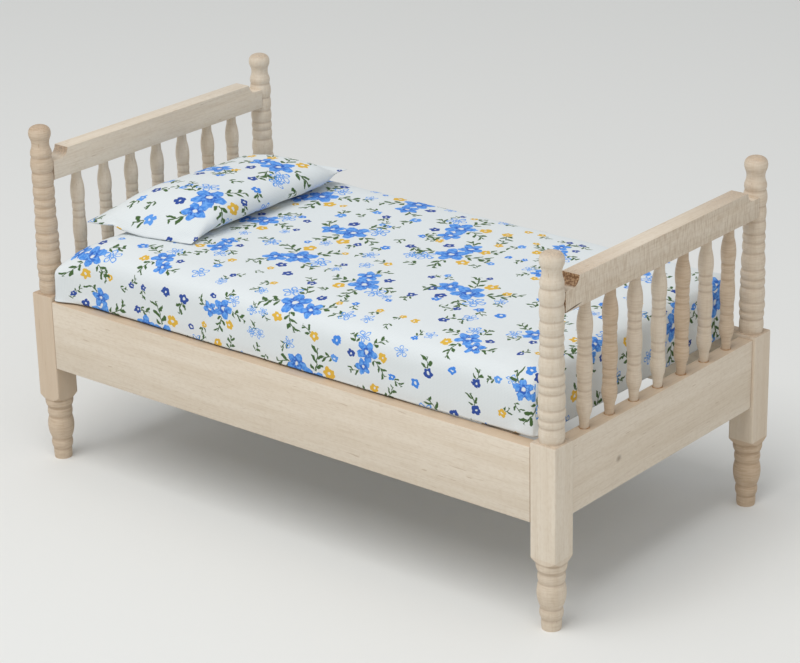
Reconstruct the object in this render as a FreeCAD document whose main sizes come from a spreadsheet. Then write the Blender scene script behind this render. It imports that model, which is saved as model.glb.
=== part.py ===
import FreeCAD, Part
import Sketcher
import math
import os

# A single bed of turned wood at dolls' house size, with its mattress and pillow.
# +X runs from the head to the foot, -Y is the near long side, +Z is up.
# The origin is on the floor, under the middle of the bed. Lengths are in millimetres.

doc = FreeCAD.newDocument("turned_bed")

# Driving sizes. Each can be changed by itself.
SIZE_ROWS = (
    # Layout of the four posts.
    ("post_spacing_long", 160.0),
    ("post_spacing_wide", 82.6),
    ("post_height", 91.4),
    # The posts, turned from square sticks.
    ("block_side", 7.0),
    ("block_top", 46.6),
    ("foot_height", 17.0),
    ("pommel_rise", 1.5),
    ("pommel_radius", 5.1),
    ("turning_radius", 3.0),
    ("foot_radius", 3.4),
    ("groove_depth", 0.22),
    # The long boards between the blocks.
    ("side_rail_top", 45.3),
    ("side_rail_height", 18.5),
    ("side_rail_thickness", 4.0),
    ("side_rail_setback", 0.1),
    # The low boards at head and foot.
    ("low_rail_top", 45.8),
    ("low_rail_height", 17.9),
    ("low_rail_thickness", 4.0),
    ("low_rail_setback", 0.8),
    # Stub tenons of the side rails and the low rails.
    ("tenon_length", 2.5),
    ("tenon_thickness", 1.6),
    ("tenon_shoulder", 3.0),
    ("glue_gap", 0.05),
    # The top rails with their coved corners and tongues.
    ("top_rail_drop", 7.2),
    ("top_rail_height", 7.4),
    ("top_rail_thickness", 4.7),
    ("cove_radius", 2.4),
    ("cove_setback", 7.0),
    ("slot_setback", 1.75),
    ("tongue_gap", 0.15),
    # The spindles.
    ("spindle_radius", 1.85),
    ("spindle_spacing", 9.8),
    ("spindle_outset", 0.35),
    ("spindle_foot_radius", 1.0),
    ("spindle_head_radius", 1.25),
    ("spindle_groove_depth", 0.16),
    ("socket_depth", 2.5),
    # Ledgers and slats under the mattress.
    ("ledger_width", 2.4),
    ("ledger_height", 2.0),
    ("ledger_end_gap", 0.5),
    ("slat_thickness", 1.6),
    ("slat_width", 9.0),
    ("slat_spacing", 32.0),
    ("slat_end_gap", 0.3),
    # The mattress.
    ("mattress_length", 152.4),
    ("mattress_width", 85.6),
    ("mattress_height", 15.4),
    ("mattress_crown", 0.7),
    ("mattress_waist", 0.7),
    ("mattress_corner", 2.6),
    ("mattress_top_edge", 4.2),
    ("mattress_bottom_edge", 1.2),
    ("resting_gap", 0.3),
    # The pillow.
    ("pillow_length", 70.0),
    ("pillow_width", 30.0),
    ("pillow_height", 9.4),
    ("pillow_seam_lift", 2.4),
    ("pillow_near_hem", 1.2),
    ("pillow_far_hem", 6.0),
    ("pillow_from_head", 19.0),
    ("pillow_off_middle", 4.0),
    # Cloth round the mattress and the pillow.
    ("cloth_thickness", 0.3),
    ("filling_gap", 0.05),
    # How far a cutting block runs past what it cuts.
    ("overrun", 1.0),
)

SPINDLES_PER_END = 7
SLAT_COUNT = 5

sizes = doc.addObject("Spreadsheet::Sheet", "sizes")
for row, (size_name, size_value) in enumerate(SIZE_ROWS, start=1):
    sizes.set("A%d" % row, size_name)
    sizes.set("B%d" % row, str(size_value))
    sizes.setAlias("B%d" % row, size_name)
doc.recompute()

# Sizes that follow from the driving ones, as expressions.
HALF_LONG = "sizes.post_spacing_long / 2"
HALF_WIDE = "sizes.post_spacing_wide / 2"
HALF_BLOCK = "sizes.block_side / 2"
SIDE_RAIL_BOTTOM = "(sizes.side_rail_top - sizes.side_rail_height)"
LOW_RAIL_BOTTOM = "(sizes.low_rail_top - sizes.low_rail_height)"
TOP_RAIL_TOP = "(sizes.post_height - sizes.top_rail_drop)"
TOP_RAIL_BOTTOM = f"({TOP_RAIL_TOP} - sizes.top_rail_height)"
TONGUE_TOP = f"({TOP_RAIL_TOP} - sizes.cove_radius)"
SIDE_RAIL_OUTSET = f"({HALF_BLOCK} - sizes.side_rail_setback - sizes.side_rail_thickness / 2)"
LOW_RAIL_OUTSET = f"({HALF_BLOCK} - sizes.low_rail_setback - sizes.low_rail_thickness / 2)"
SIDE_RAIL_HALF = f"({HALF_LONG} - {HALF_BLOCK})"
LOW_RAIL_HALF = f"({HALF_WIDE} - {HALF_BLOCK})"
TOP_RAIL_HALF = f"({HALF_WIDE} - sizes.slot_setback - sizes.tongue_gap)"
COVE_START = f"({HALF_WIDE} - sizes.cove_setback)"
SIDE_INNER_FACE = f"({HALF_WIDE} + {SIDE_RAIL_OUTSET} - sizes.side_rail_thickness / 2)"
MATTRESS_BASE = "(sizes.side_rail_top + sizes.resting_gap)"
MATTRESS_TOP = f"({MATTRESS_BASE} + sizes.mattress_height + sizes.mattress_crown)"


def value(expression):
    """Return the present value of an expression in millimetres."""
    return float(sizes.evalExpression(expression))


def bind(target, **expressions):
    """Tie properties of an object to expressions."""
    for name, expression in expressions.items():
        target.setExpression(name, expression)


def place(target, east="0", north="0", up="0"):
    """Tie an object's place to expressions."""
    target.setExpression("Placement.Base.x", east)
    target.setExpression("Placement.Base.y", north)
    target.setExpression("Placement.Base.z", up)


def new_body(name):
    body = doc.addObject("PartDesign::Body", name)
    body.Label = name
    return body


def new_sketch(body, role, name, lift=None):
    """Add a sketch on one of the body's own origin planes, lifted off it if asked."""
    sketch = body.newObject("Sketcher::SketchObject", name)
    plane = [item for item in body.Origin.OriginFeatures if item.Role == role][0]
    sketch.AttachmentSupport = (plane, [""])
    sketch.MapMode = "FlatFace"
    if lift is not None:
        sketch.setExpression(".AttachmentOffset.Base.z", lift)
    return sketch


def pin_point(sketch, geometry, position, across, upward):
    """Fix one point of a sketch at a distance across and upward from the origin."""
    for kind, axis, expression in (("DistanceX", -2, across), ("DistanceY", -1, upward)):
        if expression == "0":
            sketch.addConstraint(Sketcher.Constraint("PointOnObject", geometry, position, axis))
            continue
        index = sketch.addConstraint(
            Sketcher.Constraint(kind, -1, 1, geometry, position, value(expression)))
        sketch.setExpression("Constraints[%d]" % index, expression)


def draw_outline(sketch, corners):
    """Draw a closed outline. A corner is (across, upward), and an edge that bulges is an
    arc through one more point: (across, upward, through_across, through_upward)."""
    edges = []
    points = [FreeCAD.Vector(value(corner[0]), value(corner[1]), 0) for corner in corners]
    for number, corner in enumerate(corners):
        start = points[number]
        end = points[(number + 1) % len(corners)]
        if len(corner) == 2:
            edges.append((sketch.addGeometry(Part.LineSegment(start, end), False), 1, 2))
            continue
        through = FreeCAD.Vector(value(corner[2]), value(corner[3]), 0)
        turns_left = (through - start).cross(end - through).z > 0
        arc = Part.Arc(start, through, end) if turns_left else Part.Arc(end, through, start)
        index = sketch.addGeometry(arc, False)
        edges.append((index, 1, 2) if turns_left else (index, 2, 1))
        mark = sketch.addGeometry(Part.Point(through), True)
        pin_point(sketch, mark, 1, corner[2], corner[3])
        sketch.addConstraint(Sketcher.Constraint("PointOnObject", mark, 1, index))
    for number, corner in enumerate(corners):
        index, first, last = edges[number]
        after, after_first, after_last = edges[(number + 1) % len(corners)]
        sketch.addConstraint(Sketcher.Constraint("Coincident", index, last, after, after_first))
        pin_point(sketch, index, first, corner[0], corner[1])


def draw_rectangle(sketch, left, right, bottom, top):
    draw_outline(sketch, ((left, bottom), (right, bottom), (right, top), (left, top)))


def pad_both_ways(body, sketch, name, thickness):
    pad = body.newObject("PartDesign::Pad", name)
    pad.Profile = sketch
    pad.Midplane = True
    pad.setExpression("Length", thickness)
    return pad


def revolve_outline(body, sketch, name):
    turned = body.newObject("PartDesign::Revolution", name)
    turned.Profile = sketch
    turned.ReferenceAxis = (sketch, ["V_Axis"])
    turned.Angle = 360
    return turned


def pocket_into(body, sketch, name, depth, upward):
    """Cut a pocket and make sure that it takes wood away."""
    doc.recompute()
    before = body.Shape.Volume
    pocket = body.newObject("PartDesign::Pocket", name)
    pocket.Profile = sketch
    pocket.Reversed = upward
    pocket.setExpression("Length", depth)
    doc.recompute()
    if body.Shape.Volume >= before:
        raise RuntimeError("%s cuts nothing" % name)
    return pocket


def new_block(name, east, north, up, length, width, height):
    """Add a plain block by its lowest corner and its three sides."""
    block = doc.addObject("Part::Box", name)
    bind(block, Length=length, Width=width, Height=height)
    place(block, east, north, up)
    return block


# Turned feet and posts. Heights are shares of the foot or of the turned upper part,
# radii are shares of the foot's or the turning's radius.
FOOT_HEIGHT_SHARES = (0.0, 0.161, 0.327, 0.71, 0.858, 0.892, 1.0)
FOOT_RADIUS_SHARES = (0.66, 0.71, 0.80, 0.90, 0.93, 1.02, 1.06)
FOOT_SWELL_SHARES = (0.70, 0.83, 1.02, 0.96, 0.98, 1.07)
BEAD_HEIGHT_SHARES = (0.0, 0.083, 0.127, 0.182, 0.267, 0.312, 0.367, 0.462, 0.522, 0.571,
                      0.645, 0.727, 0.815)
BEAD_RADIUS_SHARES = (1.0, 1.02, 1.065, 1.04, 1.017, 1.017, 0.983, 0.935, 0.935, 0.943,
                      0.943, 0.977)
# The finial from the last groove up: collar, hollow neck, ball and cap. Each row gives the
# height and radius where a curve starts, and those of a point that it passes through.
FINIAL_SHARES = (
    (0.815, 0.835, 0.837, 0.90),
    (0.857, 0.873, 0.891, 0.757),
    (0.924, 0.887, 0.949, 0.953),
    (0.978, 0.833, 0.9945, 0.50),
)


def between(first, second):
    return (first + second) / 2


def post_outline():
    """Half outline of a whole post, from the floor up, before the block is squared."""
    corners = [("0", "0")]
    for number in range(len(FOOT_HEIGHT_SHARES) - 1):
        low = FOOT_HEIGHT_SHARES[number]
        high = FOOT_HEIGHT_SHARES[number + 1]
        corners.append((
            f"sizes.foot_radius * {FOOT_RADIUS_SHARES[number]}",
            f"sizes.foot_height * {low}" if low else "0",
            f"sizes.foot_radius * {FOOT_SWELL_SHARES[number]}",
            f"sizes.foot_height * {between(low, high)}"))
    corners.append((f"sizes.foot_radius * {FOOT_RADIUS_SHARES[-1]}", "sizes.foot_height"))
    corners.append(("sizes.pommel_radius", "sizes.foot_height + sizes.pommel_rise"))
    corners.append(("sizes.pommel_radius", "sizes.block_top"))
    rise = "(sizes.post_height - sizes.block_top)"
    for number, share in enumerate(BEAD_RADIUS_SHARES):
        low = BEAD_HEIGHT_SHARES[number]
        high = BEAD_HEIGHT_SHARES[number + 1]
        thinner = min(share, BEAD_RADIUS_SHARES[number - 1]) if number else share
        corners.append((
            f"sizes.turning_radius * {thinner} - sizes.groove_depth",
            f"sizes.block_top + {rise} * {low}",
            f"sizes.turning_radius * {share}",
            f"sizes.block_top + {rise} * {between(low, high)}"))
    for start_height, start_radius, through_height, through_radius in FINIAL_SHARES:
        corners.append((
            f"sizes.turning_radius * {start_radius}",
            f"sizes.block_top + {rise} * {start_height}",
            f"sizes.turning_radius * {through_radius}",
            f"sizes.block_top + {rise} * {through_height}"))
    corners.append(("0", "sizes.post_height"))
    return corners


lathe_body = new_body("post_turning")
lathe_sketch = new_sketch(lathe_body, "XZ_Plane", "post_outline")
draw_outline(lathe_sketch, post_outline())
revolve_outline(lathe_body, lathe_sketch, "post_revolve")
square_stick = new_block("square_stick", f"-{HALF_BLOCK}", f"-{HALF_BLOCK}", "0",
                         "sizes.block_side", "sizes.block_side", "sizes.post_height")
turned_stick = doc.addObject("Part::Common", "turned_stick")
turned_stick.Base = square_stick
turned_stick.Tool = lathe_body
doc.recompute()


ENDS = (("head", "-"), ("foot", ""))
SIDES = (("near", "-"), ("far", ""))
pieces = []


def keep(piece, name):
    """Name a finished piece and put it on the list of pieces."""
    piece.Label = name
    pieces.append(piece)
    return piece


def inward_start(sign, near_edge, far_edge):
    """Lowest coordinate of a cut that runs from near_edge to far_edge, both measured from
    the post's axis towards the middle of the bed."""
    return f"-({far_edge})" if sign == "" else near_edge


def make_post(end, end_sign, side, side_sign):
    """A turned stick with two mortises in its block and a slot for the top rail's tongue."""
    name = f"post_{end}_{side}"
    gap = "sizes.glue_gap"
    slack = f"(sizes.tenon_thickness / 2 + {gap})"
    cut_depth = f"(sizes.tenon_length + {gap})"
    reach = f"{cut_depth} + sizes.overrun"
    mortise_near = f"({HALF_BLOCK} - {cut_depth})"
    mortise_far = f"({HALF_BLOCK} + sizes.overrun)"
    side_middle = f"{side_sign}({SIDE_RAIL_OUTSET})"
    low_middle = f"{end_sign}({LOW_RAIL_OUTSET})"
    side_mortise = new_block(
        f"{name}_side_mortise",
        inward_start(end_sign, mortise_near, mortise_far),
        f"{side_middle} - {slack}",
        f"{SIDE_RAIL_BOTTOM} + sizes.tenon_shoulder - {gap}",
        reach, f"2 * {slack}",
        f"sizes.side_rail_height - 2 * sizes.tenon_shoulder + 2 * {gap}")
    low_mortise = new_block(
        f"{name}_low_mortise",
        f"{low_middle} - {slack}",
        inward_start(side_sign, mortise_near, mortise_far),
        f"{LOW_RAIL_BOTTOM} + sizes.tenon_shoulder - {gap}",
        f"2 * {slack}", reach,
        f"sizes.low_rail_height - 2 * sizes.tenon_shoulder + 2 * {gap}")
    tongue_slot = new_block(
        f"{name}_tongue_slot",
        f"-{HALF_BLOCK}",
        inward_start(side_sign, "sizes.slot_setback", HALF_BLOCK),
        f"{TOP_RAIL_BOTTOM} - {gap}",
        "sizes.block_side", f"{HALF_BLOCK} - sizes.slot_setback",
        f"{TONGUE_TOP} - {TOP_RAIL_BOTTOM} + 2 * {gap}")
    cuts = doc.addObject("Part::MultiFuse", f"{name}_cuts")
    cuts.Shapes = [side_mortise, low_mortise, tongue_slot]
    post = doc.addObject("Part::Cut", name)
    post.Base = turned_stick
    post.Tool = cuts
    place(post, f"{end_sign}{HALF_LONG}", f"{side_sign}{HALF_WIDE}")
    return keep(post, name)


for end, end_sign in ENDS:
    for side, side_sign in SIDES:
        make_post(end, end_sign, side, side_sign)


# The boards between the blocks, each with a stub tenon at both ends.
def make_board(name, plane, half_span, bottom, top, thickness):
    body = new_body(name)
    board = new_sketch(body, plane, f"{name}_board")
    draw_rectangle(board, f"-{half_span}", half_span, bottom, top)
    pad_both_ways(body, board, f"{name}_board_pad", thickness)
    tenons = new_sketch(body, plane, f"{name}_tenons")
    draw_rectangle(tenons, f"-({half_span} + sizes.tenon_length)",
                   f"{half_span} + sizes.tenon_length",
                   f"{bottom} + sizes.tenon_shoulder", f"{top} - sizes.tenon_shoulder")
    pad_both_ways(body, tenons, f"{name}_tenon_pad", "sizes.tenon_thickness")
    return keep(body, name)


def spindle_places():
    """Where the spindles stand along an end, as expressions counted from its middle."""
    middle = (SPINDLES_PER_END - 1) / 2
    return [f"sizes.spindle_spacing * {number - middle}" for number in range(SPINDLES_PER_END)]


def bore_sockets(body, name, shift, level, radius, upward):
    """Bore the row of blind holes that hold the spindles' ends."""
    sketch = new_sketch(body, "XY_Plane", f"{name}_sockets", lift=level)
    for station in spindle_places():
        circle = sketch.addGeometry(
            Part.Circle(FreeCAD.Vector(value(shift), value(station), 0),
                        FreeCAD.Vector(0, 0, 1), value(radius)), False)
        pin_point(sketch, circle, 3, shift, station)
        index = sketch.addConstraint(Sketcher.Constraint("Radius", circle, value(radius)))
        sketch.setExpression("Constraints[%d]" % index, radius)
    pocket_into(body, sketch, f"{name}_socket_pocket", "sizes.socket_depth + sizes.glue_gap", upward)


for side, side_sign in SIDES:
    rail = make_board(f"side_rail_{side}", "XZ_Plane", SIDE_RAIL_HALF, SIDE_RAIL_BOTTOM,
                      "sizes.side_rail_top", "sizes.side_rail_thickness")
    place(rail, north=f"{side_sign}({HALF_WIDE} + {SIDE_RAIL_OUTSET})")

for end, end_sign in ENDS:
    rail = make_board(f"{end}_low_rail", "YZ_Plane", LOW_RAIL_HALF, LOW_RAIL_BOTTOM,
                      "sizes.low_rail_top", "sizes.low_rail_thickness")
    line = f"({HALF_LONG} + {LOW_RAIL_OUTSET})"
    shift = f"{end_sign}({HALF_LONG} + sizes.spindle_outset - {line})"
    bore_sockets(rail, f"{end}_low_rail", shift, "sizes.low_rail_top",
                 "sizes.spindle_foot_radius + sizes.glue_gap", False)
    place(rail, east=f"{end_sign}{line}")


# The top rails: a cove is scooped out of both upper corners, and the tongue left under it
# enters the post's slot. The middle of a quarter round lies this share of its radius from
# its centre, both ways.
DIAGONAL_SHARE = math.sqrt(0.5)


def make_top_rail(end, end_sign):
    name = f"{end}_top_rail"
    body = new_body(name)
    sketch = new_sketch(body, "YZ_Plane", f"{name}_board")
    cove_end = f"({COVE_START} + sizes.cove_radius)"
    cove_in = f"({cove_end} - sizes.cove_radius * {DIAGONAL_SHARE})"
    cove_down = f"({TOP_RAIL_TOP} - sizes.cove_radius * {DIAGONAL_SHARE})"
    draw_outline(sketch, (
        (f"-{TOP_RAIL_HALF}", TOP_RAIL_BOTTOM),
        (TOP_RAIL_HALF, TOP_RAIL_BOTTOM),
        (TOP_RAIL_HALF, TONGUE_TOP),
        (cove_end, TONGUE_TOP, cove_in, cove_down),
        (COVE_START, TOP_RAIL_TOP),
        (f"-{COVE_START}", TOP_RAIL_TOP, f"-{cove_in}", cove_down),
        (f"-{cove_end}", TONGUE_TOP),
        (f"-{TOP_RAIL_HALF}", TONGUE_TOP)))
    pad_both_ways(body, sketch, f"{name}_pad", "sizes.top_rail_thickness")
    bore_sockets(body, name, f"{end_sign}(sizes.spindle_outset)", TOP_RAIL_BOTTOM,
                 "sizes.spindle_head_radius + sizes.glue_gap", True)
    place(body, east=f"{end_sign}{HALF_LONG}")
    return keep(body, name)


for end, end_sign in ENDS:
    make_top_rail(end, end_sign)


# The spindles. Heights are shares of the stretch between the two rails, radii are shares
# of the spindle's radius.
SPINDLE_HEIGHT_SHARES = (0.087, 0.242, 0.30, 0.368, 0.582, 0.642, 0.711, 0.92)
SPINDLE_SWELL_SHARES = (0.99, 0.91, 0.90, 1.0, 0.90, 0.91, 1.0)
SPINDLE_TAPER_SHARE = 0.68
SPINDLE_SWELL_HEIGHT_SHARES = (0.175, 0.271, 0.334, 0.475, 0.612, 0.6765, 0.80)


def spindle_outline():
    rise = f"({TOP_RAIL_BOTTOM} - sizes.low_rail_top)"
    corners = [
        ("0", "sizes.low_rail_top - sizes.socket_depth"),
        ("sizes.spindle_foot_radius", "sizes.low_rail_top - sizes.socket_depth"),
        ("sizes.spindle_foot_radius", "sizes.low_rail_top"),
    ]
    last = len(SPINDLE_SWELL_SHARES) - 1
    for number, share in enumerate(SPINDLE_SWELL_SHARES):
        if number:
            thinner = min(share, SPINDLE_SWELL_SHARES[number - 1])
            start = f"sizes.spindle_radius * {thinner} - sizes.spindle_groove_depth"
        else:
            start = f"sizes.spindle_radius * {SPINDLE_TAPER_SHARE}"
        corners.append((
            start,
            f"sizes.low_rail_top + {rise} * {SPINDLE_HEIGHT_SHARES[number]}",
            f"sizes.spindle_radius * {share}",
            f"sizes.low_rail_top + {rise} * {SPINDLE_SWELL_HEIGHT_SHARES[number]}"))
    corners.append((
        "sizes.spindle_head_radius",
        f"sizes.low_rail_top + {rise} * {SPINDLE_HEIGHT_SHARES[last + 1]}"))
    corners.append(("sizes.spindle_head_radius", f"{TOP_RAIL_BOTTOM} + sizes.socket_depth"))
    corners.append(("0", f"{TOP_RAIL_BOTTOM} + sizes.socket_depth"))
    return corners


def make_spindle(name, east, north):
    body = new_body(name)
    sketch = new_sketch(body, "XZ_Plane", f"{name}_outline")
    draw_outline(sketch, spindle_outline())
    revolve_outline(body, sketch, f"{name}_revolve")
    place(body, east, north)
    return keep(body, name)


for end, end_sign in ENDS:
    for number, station in enumerate(spindle_places(), start=1):
        make_spindle(f"{end}_spindle_{number}",
                     f"{end_sign}({HALF_LONG} + sizes.spindle_outset)", station)


# Ledgers glued inside the side rails, and the slats that lie on them.
def make_strip(name, plane, left, right, bottom, top, thickness):
    body = new_body(name)
    sketch = new_sketch(body, plane, f"{name}_face")
    draw_rectangle(sketch, left, right, bottom, top)
    pad_both_ways(body, sketch, f"{name}_pad", thickness)
    return keep(body, name)


LEDGER_TOP = "(sizes.side_rail_top - sizes.slat_thickness)"
for side, side_sign in SIDES:
    half_ledger = f"({SIDE_RAIL_HALF} - sizes.ledger_end_gap)"
    ledger = make_strip(f"ledger_{side}", "XZ_Plane", f"-{half_ledger}", half_ledger,
                        f"{LEDGER_TOP} - sizes.ledger_height", LEDGER_TOP, "sizes.ledger_width")
    place(ledger, north=f"{side_sign}({SIDE_INNER_FACE} - sizes.ledger_width / 2)")

for number in range(SLAT_COUNT):
    half_slat = f"({SIDE_INNER_FACE} - sizes.slat_end_gap)"
    slat = make_strip(f"slat_{number + 1}", "YZ_Plane", f"-{half_slat}", half_slat,
                      LEDGER_TOP, "sizes.side_rail_top", "sizes.slat_width")
    place(slat, east=f"sizes.slat_spacing * {number - (SLAT_COUNT - 1) / 2}")


# Soft pieces are lofts through closed outlines. An outline is a ring of arcs, each given
# by its start and a point that it passes through.
def arc_ring(marks):
    """Join start and through points, taken in turn, into one closed wire of arcs."""
    count = len(marks)
    edges = []
    for number in range(0, count, 2):
        arc = Part.Arc(marks[number], marks[number + 1], marks[(number + 2) % count])
        edges.append(arc.toShape())
    return Part.Wire(edges)


def mattress_ring(half_length, half_width, waist, corner, level):
    """Plan outline of the mattress: four sides that draw in between rounded corners."""
    bend = corner * (1 - DIAGONAL_SHARE)
    vector = FreeCAD.Vector
    return arc_ring([
        vector(-half_length + corner, -half_width, level),
        vector(0, -half_width + waist, level),
        vector(half_length - corner, -half_width, level),
        vector(half_length - bend, -half_width + bend, level),
        vector(half_length, -half_width + corner, level),
        vector(half_length - waist, 0, level),
        vector(half_length, half_width - corner, level),
        vector(half_length - bend, half_width - bend, level),
        vector(half_length - corner, half_width, level),
        vector(0, half_width - waist, level),
        vector(-half_length + corner, half_width, level),
        vector(-half_length + bend, half_width - bend, level),
        vector(-half_length, half_width - corner, level),
        vector(-half_length + waist, 0, level),
        vector(-half_length, -half_width + corner, level),
        vector(-half_length + bend, -half_width + bend, level)])


# How far the mattress's crown has risen, and how far in from the side, as shares.
CROWN_IN_SHARES = (0.2, 0.42, 0.68)
CROWN_UP_SHARES = (0.5, 0.85, 1.0)
EDGE_STEPS = 4


def quarter_round(radius):
    """Steps of a rounded edge: how far in from the side, and how far up from its start."""
    steps = []
    for number in range(EDGE_STEPS + 1):
        turn = math.pi / 2 * number / EDGE_STEPS
        steps.append((radius * (1 - math.sin(turn)), radius * (1 - math.cos(turn))))
    return steps


def mattress_form(inset):
    """The crowned block of the mattress, made smaller all round by inset."""
    half_length = value("sizes.mattress_length") / 2 - inset
    half_width = value("sizes.mattress_width") / 2 - inset
    base = value(MATTRESS_BASE) + inset
    crown = value("sizes.mattress_crown")
    shoulder = value(MATTRESS_BASE) + value("sizes.mattress_height") - inset
    waist = value("sizes.mattress_waist")
    corner = value("sizes.mattress_corner")
    stations = []
    for inward, upward in quarter_round(value("sizes.mattress_bottom_edge")):
        stations.append((inward, base + upward))
    for inward, downward in reversed(quarter_round(value("sizes.mattress_top_edge"))):
        stations.append((inward, shoulder - downward))
    edge = value("sizes.mattress_top_edge")
    for inward, upward in zip(CROWN_IN_SHARES, CROWN_UP_SHARES):
        stations.append((edge + (half_width - edge) * inward, shoulder + crown * upward))
    rings = []
    for inward, level in stations:
        rings.append(mattress_ring(half_length - inward, half_width - inward,
                                   waist, corner, level))
    return Part.makeLoft(rings, True, True)


# The pillow's section: heights as shares of its fullness there, and how far its front and
# back round off, as a share of that fullness too.
PILLOW_FLOOR_SHARE = 0.08
PILLOW_BULGE_SHARE = 0.44
PILLOW_SHOULDER_SHARE = 0.8
PILLOW_SIDE_SHARE = 0.22


def pillow_ring(half_width, low, high, side, station):
    """Section of the pillow across its length, with a round front and back."""
    vector = FreeCAD.Vector
    tall = high - low
    floor = low + tall * PILLOW_FLOOR_SHARE
    bulge = low + tall * PILLOW_BULGE_SHARE
    shoulder = low + tall * PILLOW_SHOULDER_SHARE
    return arc_ring([
        vector(half_width - side, station, floor),
        vector(half_width, station, bulge),
        vector(half_width - side, station, shoulder),
        vector(0, station, high),
        vector(-half_width + side, station, shoulder),
        vector(-half_width, station, bulge),
        vector(-half_width + side, station, floor),
        vector(0, station, low)])


# Stations between the pillow's two end seams, from the near one to the far one: place,
# fullness and width as shares. It slopes gently to the near seam and steeply to the far one.
PILLOW_STATION_SHARES = (
    (0.03, 0.24, 0.99),
    (0.08, 0.42, 0.98),
    (0.16, 0.68, 0.96),
    (0.27, 0.91, 0.95),
    (0.42, 1.0, 0.955),
    (0.60, 1.0, 0.96),
    (0.76, 0.97, 0.955),
    (0.87, 0.84, 0.95),
    (0.94, 0.58, 0.965),
    (0.985, 0.26, 0.985),
)


def pillow_form(inset, sewn):
    """The pillow's padded body, made smaller all round by inset. If sewn, the flat hems
    are added at both ends."""
    half_width = value("sizes.pillow_width") / 2
    height = value("sizes.pillow_height")
    seam_lift = value("sizes.pillow_seam_lift")
    near_end = -value("sizes.pillow_length") / 2
    far_end = -near_end
    near_seam = near_end + value("sizes.pillow_near_hem")
    far_seam = far_end - value("sizes.pillow_far_hem")
    flat = 2 * value("sizes.cloth_thickness")
    stations = []
    for along, full, wide in PILLOW_STATION_SHARES:
        stations.append((near_seam + (far_seam - near_seam) * along, height * full,
                         seam_lift * (1 - full), half_width * wide))
    if sewn:
        stations.insert(0, (near_seam, flat, seam_lift, half_width))
        stations.append((far_seam, flat, seam_lift, half_width))
    rings = []
    for away, tall, low, wide in stations:
        rings.append(pillow_ring(wide - inset, low + inset, low + tall - inset,
                                 PILLOW_SIDE_SHARE * tall, away))
    form = Part.makeLoft(rings, True, False)
    if not sewn:
        return form
    near_hem = Part.Face(rings[0]).extrude(FreeCAD.Vector(0, near_end - near_seam, 0))
    far_hem = Part.Face(rings[-1]).extrude(FreeCAD.Vector(0, far_end - far_seam, 0))
    return form.fuse([near_hem, far_hem])


def keep_form(name, shape, east=0.0, north=0.0, up=0.0):
    """Keep a soft piece and put it where it lies."""
    form = doc.addObject("Part::Feature", name)
    form.Shape = shape
    form.Placement = FreeCAD.Placement(FreeCAD.Vector(east, north, up), FreeCAD.Rotation())
    return keep(form, name)


cloth = value("sizes.cloth_thickness")
filling_inset = cloth + value("sizes.filling_gap")
keep_form("mattress_core", mattress_form(filling_inset))
keep_form("mattress_cover", mattress_form(0).cut(mattress_form(cloth)))

pillow_at = (-value(HALF_LONG) + value("sizes.pillow_from_head"),
             value("sizes.pillow_off_middle"),
             value(MATTRESS_TOP) + value("sizes.resting_gap"))
keep_form("pillow_filling", pillow_form(filling_inset, False), *pillow_at)
keep_form("pillow_cover", pillow_form(0, True).cut(pillow_form(cloth, False)), *pillow_at)

doc.recompute()


def check_document():
    """Stop if any object failed or any piece has no sound shape."""
    for item in doc.Objects:
        if "Invalid" in item.State or "Error" in item.State:
            raise RuntimeError("%s failed: %s" % (item.Name, item.State))
    for piece in pieces:
        if piece.Shape.isNull() or not piece.Shape.isValid():
            raise RuntimeError("%s has no sound shape" % piece.Label)
        if len(piece.Shape.Solids) != 1:
            raise RuntimeError("%s is not one solid" % piece.Label)


check_document()
os.makedirs("parts", exist_ok=True)
for piece in pieces:
    piece.Shape.exportStep(os.path.join("parts", piece.Label + ".step"))
print("%d pieces written" % len(pieces))
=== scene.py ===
import bmesh
import bpy
import math
from mathutils import Matrix, Vector, noise


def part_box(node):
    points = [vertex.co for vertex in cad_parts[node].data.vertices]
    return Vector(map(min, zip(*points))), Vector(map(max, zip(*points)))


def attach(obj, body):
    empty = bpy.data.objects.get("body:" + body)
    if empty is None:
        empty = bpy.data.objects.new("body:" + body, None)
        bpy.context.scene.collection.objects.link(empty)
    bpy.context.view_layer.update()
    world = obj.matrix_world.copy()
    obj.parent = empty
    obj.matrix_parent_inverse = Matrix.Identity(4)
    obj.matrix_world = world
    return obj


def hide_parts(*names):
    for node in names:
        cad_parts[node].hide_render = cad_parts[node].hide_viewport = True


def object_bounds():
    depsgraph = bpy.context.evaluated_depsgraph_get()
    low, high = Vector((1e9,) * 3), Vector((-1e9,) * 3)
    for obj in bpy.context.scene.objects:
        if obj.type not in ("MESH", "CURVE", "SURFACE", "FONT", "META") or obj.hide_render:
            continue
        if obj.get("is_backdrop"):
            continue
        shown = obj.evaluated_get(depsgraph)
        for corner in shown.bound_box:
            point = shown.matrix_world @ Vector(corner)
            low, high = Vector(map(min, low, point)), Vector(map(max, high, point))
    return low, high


# A miniature single bed in bare turned wood, with a mattress and a pillow in printed cotton.
# It is put together here as on the bench: posts, boards, spindles, slats, then the bedding.
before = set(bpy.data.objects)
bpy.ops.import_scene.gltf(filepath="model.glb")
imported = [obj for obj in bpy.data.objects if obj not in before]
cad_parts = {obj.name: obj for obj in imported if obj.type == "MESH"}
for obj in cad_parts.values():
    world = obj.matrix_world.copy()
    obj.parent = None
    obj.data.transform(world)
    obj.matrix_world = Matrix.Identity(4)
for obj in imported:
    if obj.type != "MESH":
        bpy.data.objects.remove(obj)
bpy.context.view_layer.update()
scene = bpy.context.scene
MM = 0.001


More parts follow.
